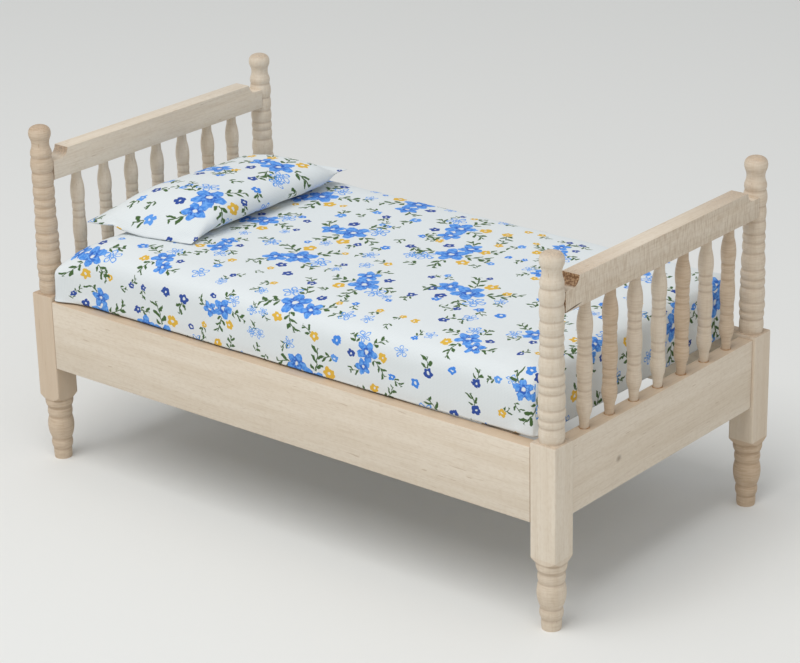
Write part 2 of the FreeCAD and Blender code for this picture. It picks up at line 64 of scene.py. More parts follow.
# The four posts. Each is turned from a square stick of pale, close-grained hardwood, with
# sanded grooves between shallow beads. The middle stays square, where the boards are let in.
# Sizes on the lathe are in millimetres. A row is a stretch of turning: the height and the
# radius where it starts, and the radius halfway up it.
FOOT_TURNING = (
    (0.00, 2.26, 2.40), (2.74, 2.36, 2.80), (5.56, 2.56, 3.42), (12.07, 3.00, 3.26),
    (14.59, 3.04, 3.24), (15.16, 3.40, 3.64), (17.00, 3.60, None))
TOP_TURNING = (
    (46.60, 2.78, 3.00), (50.32, 2.78, 3.06), (52.29, 2.84, 3.19), (54.75, 2.90, 3.12),
    (58.56, 2.80, 3.05), (60.58, 2.80, 3.05), (63.04, 2.70, 2.95), (67.30, 2.56, 2.81),
    (69.99, 2.56, 2.81), (72.18, 2.56, 2.83), (75.50, 2.58, 2.83), (79.17, 2.58, 2.93),
    (83.11, 2.55, 2.76), (84.99, 2.58, 2.25), (87.90, 2.52, 2.78), (89.20, 2.86, None))
CAP_RISE = 2.2
CAP_FLATNESS = 2.5
POMMEL_HEIGHT = 18.5
CORNER_ROUNDING = 0.35
TOP_EDGE_SHARE = 0.8
STICK_ALLOWANCE = 0.15
POST_FACETS = 96
CURVE_STEPS = 8
RING_SPACING = 0.25
GROOVE_ROUNDING = 0.18
GROOVE_WIDTH = 0.34
MERGING_DISTANCE = 0.004 * MM
CUTTING_DISTANCE = 0.001 * MM
# How brown each post's stick is, from 0 for pale wood, and how brown its foot is.
# The far head post's stick is made paler as painted light, for the light that falls on the head end.
POST_TONES = {"head_near": 0.75, "head_far": 0.05, "foot_near": 0.0, "foot_far": 0.35}
FOOT_TONES = {"head_near": 0.75, "head_far": 0.5, "foot_near": 0.3, "foot_far": 1.1}


def radius_at(stretches, height):
    """Radius of a turning at a height, as it leaves the chisel, in millimetres."""
    for (low, start, middle), (high, end, _) in zip(stretches, stretches[1:]):
        if height <= high:
            t = (height - low) / (high - low)
            return start * (1 - t) * (1 - 2 * t) + middle * 4 * t * (1 - t) + end * t * (2 * t - 1)
    return stretches[-1][1]


def turned_profile(stretches):
    """Half outline of a row of beads and swells, as (radius, height) in millimetres. Its
    grooves are rounded as sandpaper rounds them."""
    low, high = stretches[0][0], stretches[-1][0]
    count = round((high - low) / RING_SPACING)
    points = []
    for number in range(count + 1):
        height = low + (high - low) * number / count
        nearby = [max(low, min(high, height + GROOVE_ROUNDING * shift))
                  for shift in (-1, -0.5, 0, 0.5, 1)]
        radii = [radius_at(stretches, place) for place in nearby]
        points.append((sum(radii) / len(radii), height))
    return points


def turn_on_lathe(profile, facets):
    """Spin a half outline about Z into a closed turning."""
    bm = bmesh.new()
    rim = [bm.verts.new((radius * MM, 0, height * MM)) for radius, height in profile]
    edges = [bm.edges.new(pair) for pair in zip(rim, rim[1:])]
    bmesh.ops.spin(bm, geom=rim + edges, cent=(0, 0, 0), axis=(0, 0, 1),
                   angle=math.tau, steps=facets, use_merge=True)
    bmesh.ops.remove_doubles(bm, verts=bm.verts, dist=MERGING_DISTANCE)
    bmesh.ops.recalc_face_normals(bm, faces=bm.faces)
    return bm


def middle_of(node):
    """Middle of a solid's box."""
    low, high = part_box(node)
    return (low + high) / 2


def mark_grooves(bm, stretches, tone, foot_tone=0.0):
    """Note on each vertex how near it is to the bottom of a groove, where the wood is darkened
    as painted shade, and how brown the wood is, above a post's foot and in it."""
    groove = bm.verts.layers.float.new("groove")
    shade = bm.verts.layers.float.new("tone")
    heights = [row[0] * MM for row in stretches[1:]]
    for vertex in bm.verts:
        nearest = min(abs(vertex.co.z - height) for height in heights)
        vertex[groove] = max(0.0, 1.0 - nearest / (GROOVE_WIDTH * MM))
        vertex[shade] = foot_tone if vertex.co.z < POMMEL_HEIGHT * MM else tone


def finish_piece(bm, name, materials, smooth_below=35):
    """Make a mesh object of a finished bmesh, faces outward and sharp edges kept sharp."""
    if bm.calc_volume(signed=True) < 0:
        bmesh.ops.reverse_faces(bm, faces=bm.faces)
    mesh = bpy.data.meshes.new(name)
    bm.to_mesh(mesh)
    bm.free()
    for material in materials:
        mesh.materials.append(material)
    mesh.shade_smooth()
    mesh.set_sharp_from_angle(angle=math.radians(smooth_below))
    piece = bpy.data.objects.new(name, mesh)
    scene.collection.objects.link(piece)
    return piece


def srgb(text):
    """A colour written as sRGB hex, as the linear colour that a shader takes."""
    channels = [int(text[start:start + 2], 16) / 255 for start in (1, 3, 5)]
    linear = [c / 12.92 if c <= 0.04045 else ((c + 0.055) / 1.055) ** 2.4 for c in channels]
    return (*linear, 1.0)


def add_node(tree, kind, inputs=None, **settings):
    """Add a node, set its properties, and fill its inputs with values or other sockets."""
    node = tree.nodes.new(kind)
    for name, setting in settings.items():
        setattr(node, name, setting)
    for name, given in (inputs or {}).items():
        if isinstance(given, bpy.types.NodeSocket):
            tree.links.new(given, node.inputs[name])
        else:
            node.inputs[name].default_value = given
    return node


def new_material(name):
    material = bpy.data.materials.new(name)
    material.use_nodes = True
    material.node_tree.nodes.clear()
    return material, material.node_tree


def blend_colours(tree, share, first, second):
    """Mix two colours by a share from 0 to 1."""
    return add_node(tree, "ShaderNodeMix", {"Factor": share, 6: first, 7: second},
                    data_type="RGBA").outputs[2]


def spread(tree, source, low, high):
    """Stretch a part of a value's range to run from 0 to 1."""
    return add_node(tree, "ShaderNodeMapRange",
                    {"Value": source, "From Min": low, "From Max": high}).outputs["Result"]


def calculate(tree, operation, first, second=0.0, third=0.0):
    return add_node(tree, "ShaderNodeMath", {0: first, 1: second, 2: third},
                    operation=operation).outputs[0]


def both(tree, first, second):
    return calculate(tree, "MULTIPLY", first, second)


def vector_math(tree, operation, first, second, third=(0.0, 0.0, 0.0)):
    return add_node(tree, "ShaderNodeVectorMath", {0: first, 1: second, 2: third},
                    operation=operation).outputs["Vector"]


def vector_of(tree, x, y, z=0.0):
    return add_node(tree, "ShaderNodeCombineXYZ", {"X": x, "Y": y, "Z": z}).outputs["Vector"]


def parts_of(tree, vector):
    """The X, Y and Z of a vector."""
    return add_node(tree, "ShaderNodeSeparateXYZ", {"Vector": vector}).outputs


def attribute(tree, name):
    return add_node(tree, "ShaderNodeAttribute", attribute_name=name).outputs["Fac"]


def give_surface(tree, inputs):
    """End a material in one shader with the given inputs."""
    shader = add_node(tree, "ShaderNodeBsdfPrincipled", inputs)
    add_node(tree, "ShaderNodeOutputMaterial", {"Surface": shader.outputs["BSDF"]})


def within(tree, amount, limit, softness=0.08):
    """1 where an amount is under a limit, with a soft edge."""
    return spread(tree, amount, limit + softness / 2, limit - softness / 2)


def noise_at(tree, place, scale, detail, dimensions="3D"):
    return add_node(tree, "ShaderNodeTexNoise", {
        "Vector": place, "Scale": scale, "Detail": detail}, noise_dimensions=dimensions).outputs


def length_of(tree, vector):
    return add_node(tree, "ShaderNodeVectorMath", {0: vector},
                    operation="LENGTH").outputs["Value"]


# Bare hardwood, sanded: pale and even, with faint bands of growth, silky fibres, a fine
# mottling, and a few short brown dashes with the grain. It has no finish and shines little.
# Cut ends soak up more dirt, so they are browner and show their pores as specks.
WOOD_PALE = srgb("#E3D7C5")
WOOD_TAN = srgb("#CDBBA2")
WOOD_BROWN = srgb("#AA8D6D")
WOOD_STAIN = srgb("#BF9F7C")
# Painted shade laid into the grooves of the turnings, and the brown of glue at the boards' joints.
GROOVE_SHADE_AND_GLUE = srgb("#8F6F50")
END_PALE = srgb("#B3906C")
END_BROWN = srgb("#7A5736")
FLAW_DARK = srgb("#5C4530")
WOOD_ROUGHNESS = 0.6
RELIEF_DEPTH = 0.04 * MM
# Sizes of the wood's figure in millimetres, across and along the grain, and how much of the
# colour each takes.
BAND_SIZE, BAND_SHARE = (2.4, 38.0), 0.36
MOTTLE_SIZE, MOTTLE_SHARE = (0.7, 1.3), 0.3
FIBRE_SIZE = (0.3, 9.0)
DASH_SIZE, DASH_SHARE = (0.42, 3.4), 0.45
PORE_SIZE = (0.45, 0.45, 0.45)
STAIN_SHARE = 0.6
GROOVE_SHARE = 0.38
# Sizes of the marks that the tools left, along X, Y and Z. A browner stick has more of them,
# and the square middle of a post, which no chisel touched, has none.
LATHE_MARK = (3.0, 3.0, 0.28)
SAW_MARK = (0.38, 0.38, 2.3)
ROUGH_SHARE = 0.32
SQUARE_MIDDLE, SQUARE_HALF_HEIGHT = 32.0, 14.5
# A flaw is a dark oval on a cross board: its middle, its half depth, half length and half
# height, its slope in degrees, how soft its edge is and how dark it is.
SPLIT = ((82.35, -36.6, 77.3), (2.0, 2.9, 0.16), 6.0, 0.5, 1.0)
PIN_KNOT = ((82.7, -18.97, 34.97), (2.0, 0.8, 0.62), 15.0, 1.2, 0.5)


def bare_hardwood(name, grain, fibre=0.3, mark=None, mark_share=0.0,
                  end_share=0.55, end_from=0.3, end_to=0.85, flaw=None):
    """Pale hardwood whose grain runs along one axis of the bed. The tool's marks are a noise
    of a given size across the face, and cut ends show where a face looks along the grain."""
    material, tree = new_material(name)
    texture = add_node(tree, "ShaderNodeTexCoord")
    place = texture.outputs["Object"]

    def noise_of(size, detail):
        scale = [1 / (side * MM) for side in size]
        vector = add_node(tree, "ShaderNodeMapping", {"Vector": place, "Scale": scale})
        return noise_at(tree, vector.outputs["Vector"], 1.0, detail)["Fac"]

    def grained(size, detail):
        sides = [size[0], size[0], size[0]]
        sides["XYZ".index(grain)] = size[1]
        return noise_of(sides, detail)

    bands = grained(BAND_SIZE, 3.0)
    mottling = grained(MOTTLE_SIZE, 3.0)
    fibres = grained(FIBRE_SIZE, 2.0)
    dashes = grained(DASH_SIZE, 0.0)
    tone = attribute(tree, "tone")
    band = both(tree, spread(tree, bands, 0.38, 0.66), BAND_SHARE)
    colour = blend_colours(tree, band, WOOD_PALE, WOOD_TAN)
    colour = blend_colours(tree, both(tree, tone, STAIN_SHARE), colour, WOOD_STAIN)
    mottle = both(tree, spread(tree, mottling, 0.45, 0.7), MOTTLE_SHARE)
    colour = blend_colours(tree, mottle, colour, WOOD_TAN)
    colour = blend_colours(tree, both(tree, spread(tree, fibres, 0.5, 0.85), fibre),
                           colour, WOOD_BROWN)
    dash = both(tree, spread(tree, dashes, 0.81, 0.87), DASH_SHARE)
    colour = blend_colours(tree, dash, colour, WOOD_BROWN)
    relief = calculate(tree, "MULTIPLY_ADD", fibres, 0.5, dash)
    if mark:
        share = calculate(tree, "MULTIPLY_ADD", tone, ROUGH_SHARE, mark_share)
        marks = both(tree, spread(tree, noise_of(mark, 1.0), 0.42, 0.68), share)
        if mark == LATHE_MARK:
            square = calculate(tree, "COMPARE", parts_of(tree, place)["Z"],
                               SQUARE_MIDDLE * MM, SQUARE_HALF_HEIGHT * MM)
            marks = both(tree, marks, calculate(tree, "SUBTRACT", 1.0, square))
        colour = blend_colours(tree, marks, colour, WOOD_BROWN)
        relief = calculate(tree, "ADD", relief, marks)
    facing = parts_of(tree, texture.outputs["Normal"])[grain]
    facing = spread(tree, calculate(tree, "ABSOLUTE", facing), end_from, end_to)
    specks = spread(tree, noise_of(PORE_SIZE, 3.0), 0.42, 0.56)
    cut_end = blend_colours(tree, specks, END_PALE, END_BROWN)
    colour = blend_colours(tree, both(tree, facing, end_share), colour, cut_end)
    # The turnings' grooves darken here as painted shade; at the boards' joints this is glue.
    groove_shade_and_glue = both(tree, attribute(tree, "groove"), GROOVE_SHARE)
    colour = blend_colours(tree, groove_shade_and_glue, colour, GROOVE_SHADE_AND_GLUE)
    if flaw:
        middle, half_sizes, slope, softness, darkness = flaw
        oval = add_node(tree, "ShaderNodeMapping", {
            "Vector": place, "Location": Vector(middle) * MM,
            "Rotation": (math.radians(slope), 0.0, 0.0), "Scale": Vector(half_sizes) * MM},
            vector_type="TEXTURE").outputs["Vector"]
        inside = within(tree, length_of(tree, oval), 1.0, softness)
        colour = blend_colours(tree, both(tree, inside, darkness), colour, FLAW_DARK)
    bump = add_node(tree, "ShaderNodeBump", {
        "Strength": 0.5, "Distance": RELIEF_DEPTH, "Height": relief}, invert=True)
    give_surface(tree, {"Base Color": colour, "Roughness": WOOD_ROUGHNESS, "IOR": 1.48,
                        "Normal": bump.outputs["Normal"]})
    return material


turned_hardwood = bare_hardwood("turned_hardwood_upright", "Z", fibre=0.18,
                                mark=LATHE_MARK, mark_share=0.1, end_share=0.35)


def square_the_block(bm, half_side, top):
    """Plane a turning down to its square stick, its edges a little rounded and those round
    its top by a share of that."""
    rounding = CORNER_ROUNDING * MM
    for vertex in bm.verts:
        place = vertex.co
        below_top = top * MM - place.z
        inset = 0.0
        if 0 <= below_top < rounding:
            inset = rounding - math.sqrt(max(0.0, rounding ** 2 - (rounding - below_top) ** 2))
            inset *= TOP_EDGE_SHARE
        limit = half_side - inset
        corner = limit - rounding
        flat = Vector((max(-limit, min(limit, place.x)), max(-limit, min(limit, place.y))))
        past = Vector((abs(flat.x) - corner, abs(flat.y) - corner))
        if past.x > 0 and past.y > 0 and past.length > rounding:
            past *= rounding / past.length
            flat.x = math.copysign(corner + past.x, flat.x)
            flat.y = math.copysign(corner + past.y, flat.y)
        place.x, place.y = flat


def post_profile(half_side):
    """Outline of a post from the middle of its foot to the middle of its cap."""
    corner_radius = half_side / MM * math.sqrt(2) + STICK_ALLOWANCE
    block_top = TOP_TURNING[0][0]
    foot_top, shoulder = FOOT_TURNING[-1][:2]
    points = [(0.0, 0.0)] + turned_profile(FOOT_TURNING)
    for step in range(1, CURVE_STEPS + 1):
        t = step / CURVE_STEPS
        points.append((shoulder + (corner_radius - shoulder) * t,
                       foot_top + (POMMEL_HEIGHT - foot_top) * t))
    for below in (CORNER_ROUNDING, CORNER_ROUNDING / 2, CORNER_ROUNDING / 5, 0.0):
        points.append((corner_radius, block_top - below))
    points += turned_profile(TOP_TURNING)
    cap_start, cap_radius = TOP_TURNING[-1][:2]
    for step in range(1, 2 * CURVE_STEPS + 1):
        turn = math.pi / 4 * step / CURVE_STEPS
        points.append((cap_radius * max(0.0, math.cos(turn)) ** (2 / CAP_FLATNESS),
                       cap_start + CAP_RISE * math.sin(turn) ** (2 / CAP_FLATNESS)))
    return points


def stand_turning(bm, node):
    """Stand a turning where its solid is."""
    middle = middle_of(node)
    bmesh.ops.translate(bm, verts=bm.verts, vec=(middle.x, middle.y, 0))
    piece = finish_piece(bm, f"turned_{node}", [turned_hardwood])
    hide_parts(node)
    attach(piece, "frame")


# The neck and the cap, which are the last three rows, have no grooves.
grooved_stretches = FOOT_TURNING + TOP_TURNING[1:-3]
for corner in ("head_near", "head_far", "foot_near", "foot_far"):
    node = f"post_{corner}"
    low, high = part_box(node)
    half_side = (high.x - low.x) / 2
    turning = turn_on_lathe(post_profile(half_side), POST_FACETS)
    square_the_block(turning, half_side, TOP_TURNING[0][0])
    mark_grooves(turning, grooved_stretches, POST_TONES[corner], FOOT_TONES[corner])
    bmesh.ops.remove_doubles(turning, verts=turning.verts, dist=MERGING_DISTANCE)
    stand_turning(turning, node)


# The boards: two side rails, a low rail and a coved top rail at each end. They are planed
# from the same wood, their edges just eased, and glued into the posts by stub tenons. The
# foot's top rail has the saw's marks on its outer face and is dark where its coves are cut.
EASED_EDGE, SHARP_ABOVE = 0.22 * MM, 40
JOINT_LINE = 0.4 * MM
# A face looks along an axis if its normal has at least this much of it.
SQUARE_ON = 0.9
long_hardwood = bare_hardwood("planed_hardwood_long", "X")
cross_hardwood = bare_hardwood("planed_hardwood_cross", "Y", flaw=PIN_KNOT)
dark_ended_hardwood = bare_hardwood("planed_hardwood_cross_dark_ends", "Y",
                                    end_share=1.0, end_from=0.05, end_to=0.4)
sawn_hardwood = bare_hardwood("sawn_hardwood_cross", "Y",
                              mark=SAW_MARK, mark_share=0.33, flaw=SPLIT)


def cut_across(bm, axis, place):
    """Cut all faces square across an axis, at a place along it."""
    normal = Vector((0, 0, 0))
    normal[axis] = 1
    geometry = bm.verts[:] + bm.edges[:] + bm.faces[:]
    bmesh.ops.bisect_plane(bm, geom=geometry, dist=CUTTING_DISTANCE,
                           plane_co=normal * place, plane_no=normal)


def ease_edges(node, grain, tone, top_tone, joint):
    """Copy a board, join its faces up and take the sharpness off its edges. A little glue
    darkens it where it meets the posts, at a joint's distance from the middle."""
    bm = bmesh.new()
    bm.from_mesh(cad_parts[node].data)
    bmesh.ops.remove_doubles(bm, verts=bm.verts, dist=CUTTING_DISTANCE)
    bmesh.ops.dissolve_limit(bm, angle_limit=math.radians(1), verts=bm.verts, edges=bm.edges)
    sharp = [item for item in bm.edges
             if item.is_manifold and item.calc_face_angle() > math.radians(SHARP_ABOVE)]
    bmesh.ops.bevel(bm, geom=sharp, offset=EASED_EDGE, offset_type="OFFSET", segments=2,
                    profile=0.5, affect="EDGES", material=-1, clamp_overlap=True)
    axis = "XYZ".index(grain)
    groove = bm.verts.layers.float.new("groove")
    shade = bm.loops.layers.float.new("tone")
    for face in bm.faces:
        for loop in face.loops:
            loop[shade] = top_tone if face.normal.z > SQUARE_ON else tone
    if joint is None:
        return bm
    for place in (joint, joint - JOINT_LINE):
        cut_across(bm, axis, -place)
        cut_across(bm, axis, place)
    for vertex in bm.verts:
        vertex[groove] = 1.0 if abs(vertex.co[axis]) > joint - JOINT_LINE / 2 else 0.0
    return bm


def make_board(node, grain, materials, tone=0.1, top_tone=0.1, joint=None):
    """Make a board in one material, or in two, of which the second is its outer face."""
    board_mesh = ease_edges(node, grain, tone, top_tone, joint)
    if len(materials) == 2:
        for face in board_mesh.faces:
            face.material_index = 1 if face.normal.x > SQUARE_ON else 0
    board = finish_piece(board_mesh, f"planed_{node}", materials)
    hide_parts(node)
    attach(board, "frame")


post_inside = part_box("post_foot_far")[0]
# The tops of the side rails and low rails are browner than their other faces.
for side in ("near", "far"):
    make_board(f"side_rail_{side}", "X", [long_hardwood],
               tone=0.05, top_tone=1.0, joint=post_inside.x)
for end in ("head", "foot"):
    make_board(f"{end}_low_rail", "Y", [cross_hardwood],
               top_tone=0.8, joint=post_inside.y)
make_board("head_top_rail", "Y", [cross_hardwood], tone=0.0, top_tone=0.0)
make_board("foot_top_rail", "Y", [dark_ended_hardwood, sawn_hardwood])


# Seven spindles at each end, turned like the posts and pushed into blind holes in the two
# end boards. They swell in the middle and thin out towards both holes. Some were browner
# sticks than others, and a little glue has dried round their feet.
SPINDLE_TURNING = (
    (43.30, 1.00, 1.00), (45.75, 1.06, 1.16), (48.50, 1.28, 1.83), (53.30, 1.60, 1.69),
    (55.10, 1.54, 1.68), (57.21, 1.60, 1.85), (63.84, 1.60, 1.68), (65.70, 1.53, 1.69),
    (67.84, 1.59, 1.86), (74.32, 1.32, 1.25), (79.30, 1.25, None))
SPINDLE_BEADS = SPINDLE_TURNING[3:9]
# The head row is made nearly pale as painted light, for the light that falls on the head end; the
# foot row's tones are the sticks' own.
SPINDLE_TONES = {"head": (0.05, 0.0, 0.0, 0.0, 0.0, 0.05, 0.15),
                 "foot": (0.4, 0.95, 0.4, 0.15, 1.0, 0.3, 0.85)}
SPINDLE_FACETS = 48
GLUE_RING_RADIUS = 1.16
GLUE_BEAD_RADIUS = 0.17
GLUE_RING_FACETS, GLUE_BEAD_FACETS = 24, 6
GLUE_LUMP, GLUE_CLOUD = 0.9 * MM, 0.8 * MM
# The bead's thickness as a share of its radius: the least, the usual and how much it varies.
GLUE_LEAST, GLUE_USUAL, GLUE_SWELL = 0.2, 0.8, 1.3
spindle_profile = [(0.0, SPINDLE_TURNING[0][0])] + turned_profile(SPINDLE_TURNING)
spindle_profile.append((0.0, SPINDLE_TURNING[-1][0]))
for end in ("head", "foot"):
    for number in range(1, 8):
        turning = turn_on_lathe(spindle_profile, SPINDLE_FACETS)
        mark_grooves(turning, SPINDLE_BEADS, SPINDLE_TONES[end][number - 1])
        stand_turning(turning, f"{end}_spindle_{number}")


def dried_glue(name):
    """Wood glue that was squeezed out and dried: amber, and shinier than the wood."""
    material, tree = new_material(name)
    place = add_node(tree, "ShaderNodeTexCoord").outputs["Object"]
    clouds = noise_at(tree, place, 1 / GLUE_CLOUD, 2.0)["Fac"]
    colour = blend_colours(tree, clouds, srgb("#C39A6C"), srgb("#8E6238"))
    give_surface(tree, {"Base Color": colour, "Roughness": 0.4, "IOR": 1.47})
    return material


def add_glue_ring(bm, middle, seed):
    """An uneven bead of glue round the foot of a spindle."""
    beads = bmesh.ops.create_circle(bm, segments=GLUE_BEAD_FACETS, radius=GLUE_BEAD_RADIUS * MM,
                                    matrix=Matrix.Rotation(math.pi / 2, 4, "X"))["verts"]
    bmesh.ops.translate(bm, verts=beads, vec=(GLUE_RING_RADIUS * MM, 0, 0))
    edges = list({edge for vertex in beads for edge in vertex.link_edges})
    before = set(bm.verts) - set(beads)
    bmesh.ops.spin(bm, geom=beads + edges, cent=(0, 0, 0), axis=(0, 0, 1),
                   angle=math.tau, steps=GLUE_RING_FACETS, use_merge=True)
    ring = [vertex for vertex in bm.verts if vertex not in before]
    for vertex in ring:
        place = vertex.co
        swell = noise.noise(Vector((place.x, place.y, seed * MM)) / GLUE_LUMP)
        outward = Vector((place.x, place.y, 0)).normalized()
        core = outward * GLUE_RING_RADIUS * MM
        thickness = max(GLUE_LEAST, GLUE_USUAL + GLUE_SWELL * swell)
        vertex.co = core + (place - core) * thickness
    bmesh.ops.translate(bm, verts=ring, vec=middle)


amber_glue = dried_glue("dried_wood_glue")
for end in ("head", "foot"):
    glue = bmesh.new()
    for number in range(1, 8):
        middle = middle_of(f"{end}_spindle_{number}")
        middle.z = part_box(f"{end}_low_rail")[1].z
        add_glue_ring(glue, middle, 7 * number + len(end))
    bmesh.ops.recalc_face_normals(glue, faces=glue.faces)
    squeezed = finish_piece(glue, f"{end}_spindle_glue", [amber_glue], smooth_below=60)
    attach(squeezed, "frame")


# Ledgers glued along the side rails, and five slats that lie on them under the mattress.
# They are plain strips of the same wood, and show from below or with the mattress off.
for side in ("near", "far"):
    make_board(f"ledger_{side}", "X", [long_hardwood])
for number in range(1, 6):
    make_board(f"slat_{number}", "Y", [cross_hardwood])


# The mattress: a soft block in a sewn cover of printed cotton, laid on the side rails. The
# filling has thinned towards the head, where the cover slumps and a sewn corner sticks out.
MATTRESS_CELL = 1.5 * MM
CORNER_CUTS = (0.5 * MM, 1.0 * MM)
# The cover lies on the rails with hardly a gap, and its low and high corners are moved from
# those of its solid's box by these amounts.
RAIL_GAP = 0.05 * MM
LOW_SPARE = Vector((-0.4, -0.2, 0.0)) * MM
HIGH_SPARE = Vector((0.4, 0.2, -0.2)) * MM
EDGE_ROUNDING = Vector((2.8, 3.2, 4.2)) * MM
HEM_ROUNDING = 1.1 * MM
# How deep and over what length the top slumps towards an edge.
HEAD_SLUMP = (4.0 * MM, 14.0 * MM)
NEAR_SLUMP = (1.5 * MM, 9.0 * MM)
FAR_SLUMP = (1.0 * MM, 9.0 * MM)
# The near side leans in towards the foot: how far, and where that starts and over what
# stretch it grows, across the bed and along it.
NEAR_LEAN = 1.0 * MM
LEAN_FROM_Y, LEAN_WIDTH = 25.0 * MM, 18.0 * MM
LEAN_FROM_X, LEAN_LENGTH = 20.0 * MM, 60.0 * MM
# The corner that sticks out, like an ear: how far along X and Y, how much of the cover goes
# with it, and the height over the floor where it ends.
EAR_OUT_X, EAR_OUT_Y = 0.9 * MM, 3.3 * MM
EAR_LENGTH, EAR_WIDTH = 6.0 * MM, 4.5 * MM
EAR_TOP, EAR_FADE = 57.5 * MM, 4.0 * MM
# How the cover settles: the filling's pressure, the cloth's slack as a share of its size,
# the room to move, and the height of the hem that lies still. Dents have a depth and a width.
MATTRESS_PRESSURE, MATTRESS_SLACK = 2.5, 0.02
MATTRESS_ROOM, MATTRESS_HEM = 0.55 * MM, 0.6 * MM
MATTRESS_DENTS = (0.16 * MM, 9.0 * MM)
SIMULATION_SCALE = 10.0
SETTLING_FRAMES = 20


def grid_block(low, high, cell, corner_cuts):
    """A closed block cut into square cells, with closer cuts beside its corners."""
    bm = bmesh.new()
    bmesh.ops.create_cube(bm, size=1.0)
    bmesh.ops.scale(bm, verts=bm.verts, vec=high - low)
    bmesh.ops.translate(bm, verts=bm.verts, vec=(low + high) / 2)
    for axis in range(3):
        length = high[axis] - low[axis]
        count = max(1, round(length / cell))
        cuts = [low[axis] + length * number / count for number in range(1, count)]
        for cut in corner_cuts:
            cuts += [low[axis] + cut, high[axis] - cut]
        for place in cuts:
            cut_across(bm, axis, place)
    return bm


def unfold_print(bm, low, high):
    """Lay the cloth out flat in millimetres: the top as seen from above, each side folded
    out from its top edge, and the underside past the near side."""
    layer = bm.loops.layers.uv.new("cloth")
    for face in bm.faces:
        normal = face.normal
        for loop in face.loops:
            place = loop.vert.co
            across, along = place.x, place.y
            drop = high.z - place.z
            if normal.x > 0.5:
                across = high.x + drop
            elif normal.x < -0.5:
                across = low.x - drop
            elif normal.y > 0.5:
                along = high.y + drop
            elif normal.y < -0.5:
                along = low.y - drop
            elif normal.z < -0.5:
                along = low.y - (high.z - low.z) - (place.y - low.y)
            loop[layer].uv = (across / MM, along / MM)


def round_block(bm, low, high, rounding, hem):
    """Round a block's edges over, wide above and narrow below."""
    for vertex in bm.verts:
        place = vertex.co
        reach = rounding.copy()
        if place.z < (low.z + high.z) / 2:
            reach.z = hem
        core = Vector(max(low[axis] + reach[axis], min(high[axis] - reach[axis], place[axis]))
                      for axis in range(3))
        out = Vector((place[axis] - core[axis]) / reach[axis] for axis in range(3))
        if out.length > 0:
            out.normalize()
            vertex.co = core + Vector(out[axis] * reach[axis] for axis in range(3))


def ease(amount):
    """A smooth step from 0 to 1."""
    amount = max(0.0, min(1.0, amount))
    return amount * amount * (3 - 2 * amount)


def slump(distance, depth, length):
    """How far the top has sunk at a distance from an edge of the mattress."""
    return depth * max(0.0, 1 - distance / length) ** 2


def relax_cloth(piece, pressure, slack, room, held_below):
    """Let a cover settle as cloth that is blown up a little and cut a little large. No point
    moves farther than its room, and those below a height lie still."""
    mesh = piece.data
    start = [vertex.co.copy() for vertex in mesh.vertices]
    mesh.transform(Matrix.Scale(SIMULATION_SCALE, 4))
    group = piece.vertex_groups.new(name="held")
    for vertex, place in zip(mesh.vertices, start):
        group.add([vertex.index], 1.0 if place.z < held_below else 0.0, "REPLACE")
    cloth = piece.modifiers.new("cover", "CLOTH")
    settings = cloth.settings
    settings.quality = 6
    settings.mass = 0.2
    settings.tension_stiffness = 30
    settings.compression_stiffness = 12
    settings.shear_stiffness = 8
    settings.bending_stiffness = 0.4
    settings.shrink_min = -slack
    settings.use_pressure = True
    settings.uniform_pressure_force = pressure
    settings.vertex_group_mass = "held"
    settings.effector_weights.gravity = 0
    cloth.collision_settings.use_collision = False
    cloth.point_cache.frame_start = 1
    cloth.point_cache.frame_end = SETTLING_FRAMES
    for number in range(1, SETTLING_FRAMES + 1):
        scene.frame_set(number)
    settled = piece.evaluated_get(bpy.context.evaluated_depsgraph_get())
    places = [vertex.co / SIMULATION_SCALE for vertex in settled.data.vertices]
    piece.modifiers.remove(cloth)
    piece.vertex_groups.remove(group)
    for vertex, before, after in zip(mesh.vertices, start, places):
        move = after - before
        if move.length > room:
            move *= room / move.length
        vertex.co = before + move
    scene.frame_set(1)


def ruffle(piece, depth, width):
    """Small soft dents and swells, as cotton has over a filling."""
    mesh = piece.data
    normals = [Vector(corner.vector) for corner in mesh.vertex_normals]
    for vertex, normal in zip(mesh.vertices, normals):
        vertex.co += normal * noise.noise(vertex.co / width) * depth


def add_subdivision(piece):
    smooth = piece.modifiers.new("finer_mesh", "SUBSURF")
    smooth.levels = 1
    smooth.render_levels = 1


# The print on the cotton, in millimetres on the laid-out cloth: bouquets of blue blossoms
# on a white ground, and between them small navy, yellow and sky-blue flowers with leaves.
# The cotton's own white, tinted a little cool as painted blue reflected light.
COTTON_WHITE = srgb("#E3E8E9")
BLOSSOM_BLUE = srgb("#4389E2")
BLOSSOM_LIGHT = srgb("#6FAAF0")
BLOSSOM_DEEP = srgb("#2A5FBE")
NAVY = srgb("#2C4C9C")
YELLOW = srgb("#E3B640")
SKY = srgb("#5F9DEA")
LEAF_GREEN = srgb("#43622F")
BOUQUET_SPACING, BOUQUET_LOOSENESS, BOUQUET_RADIUS = 24.0, 0.6, 9.3
SCATTER_SPACING, SCATTER_LOOSENESS, SCATTER_RADIUS = 6.8, 0.8, 3.1
# Of the single flowers, the first share is plain and those up to the second are outlined.
PLAIN_SHARE, OUTLINED_UP_TO = 0.6, 0.82
PRINT_WAVER = 0.9
# Threads lie about 0.25 mm apart on such cloth, and are drawn wider, so that they show.
THREAD_SPACING = 0.4
THREAD_RELIEF = 0.04 * MM
THREAD_SHADE = 0.15


def cells_of(tree, place, spacing, looseness, feature="F1"):
    """Cells scattered over the flat cloth, more or less loosely."""
    return add_node(tree, "ShaderNodeTexVoronoi", {
        "Vector": place, "Scale": 1 / spacing, "Randomness": looseness},
        voronoi_dimensions="2D", feature=feature).outputs


